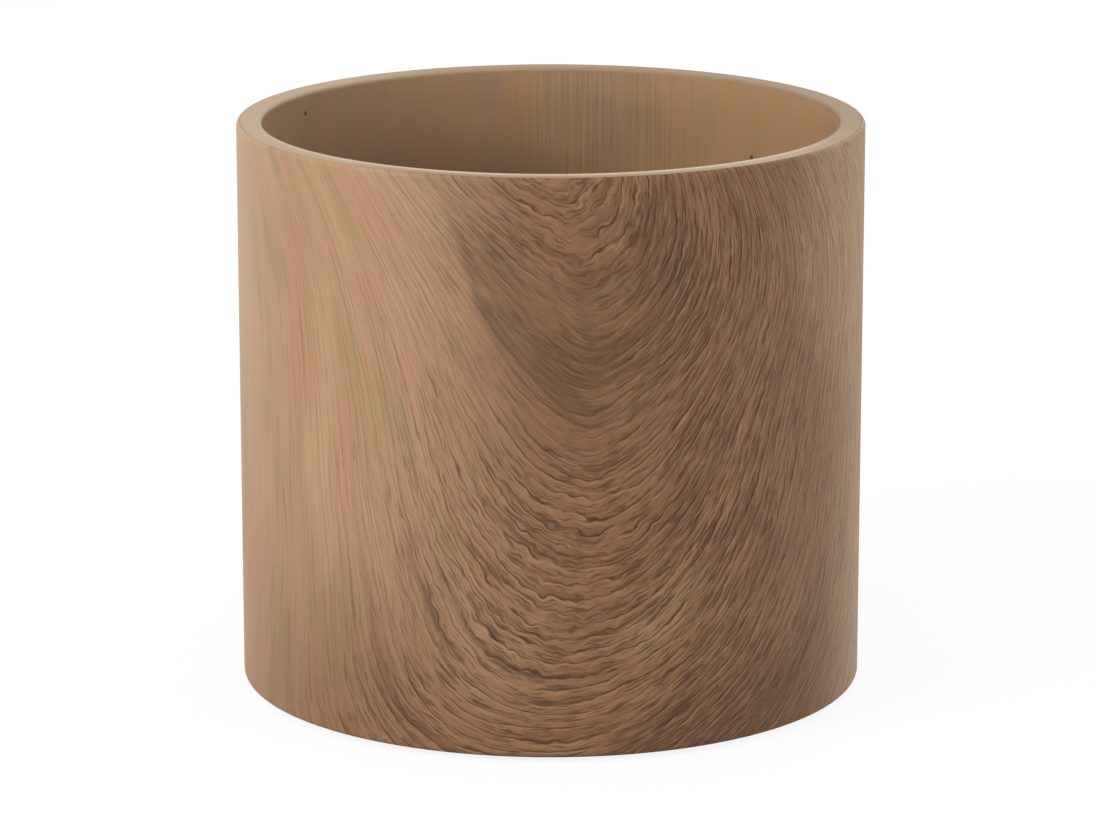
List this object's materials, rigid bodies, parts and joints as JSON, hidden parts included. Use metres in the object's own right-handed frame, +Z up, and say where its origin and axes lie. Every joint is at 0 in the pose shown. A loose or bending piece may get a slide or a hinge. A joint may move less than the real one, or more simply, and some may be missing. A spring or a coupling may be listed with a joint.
{
  "type": "cement cachepot",
  "caption": "Straight-walled round cement cachepot with a wood-effect outer film, a sealed inside and felt pads under its flat base.",
  "frame": {"origin": "centre of the plane that the felt pads stand on, on the pot's axis", "axes": "+Z up the pot's axis and out of its mouth, -Y towards the side that the picture shows"},
  "size_m": [0.25, 0.25, 0.229],
  "materials": {
    "cement": "matt cast cement",
    "wood_print": "satin printed wood effect",
    "beige_coat": "matt beige sealing paint",
    "felt": "dense brown felt"
  },
  "bodies": {
    "root": {"cement_body": "cement", "wood_print_film": "wood_print", "sealing_coat": "beige_coat", "felt_pad_1": "felt", "felt_pad_2": "felt", "felt_pad_3": "felt", "felt_pad_4": "felt"}
  },
  "joints": []
}
